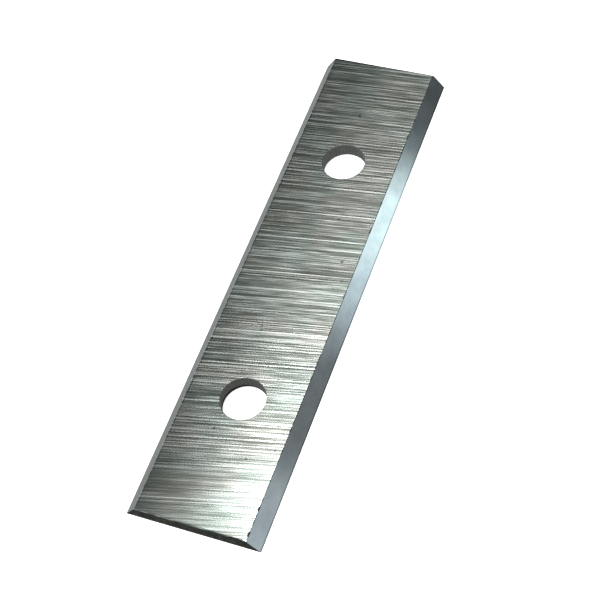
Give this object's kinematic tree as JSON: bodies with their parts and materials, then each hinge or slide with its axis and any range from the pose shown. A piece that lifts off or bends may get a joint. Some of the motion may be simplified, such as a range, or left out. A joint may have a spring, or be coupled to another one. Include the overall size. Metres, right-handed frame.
{
  "type": "carbide turnover knife",
  "caption": "Flat turnover knife of ground cemented carbide for a wood planing or milling head, with a bevelled cutting edge along each long side and round screw holes.",
  "frame": {"origin": "middle of the flat back face, which seats in the cutter head", "axes": "+Y along the length and the cutting edges, +X across the width, +Z through the thickness from the back face to the ground face with the bevels"},
  "size_m": [0.012, 0.05, 0.0015],
  "materials": {
    "carbide": "cemented carbide, cross-ground on the faces and finely ground on the bevels"
  },
  "bodies": {
    "root": {"turnover_knife": "carbide"}
  },
  "joints": []
}
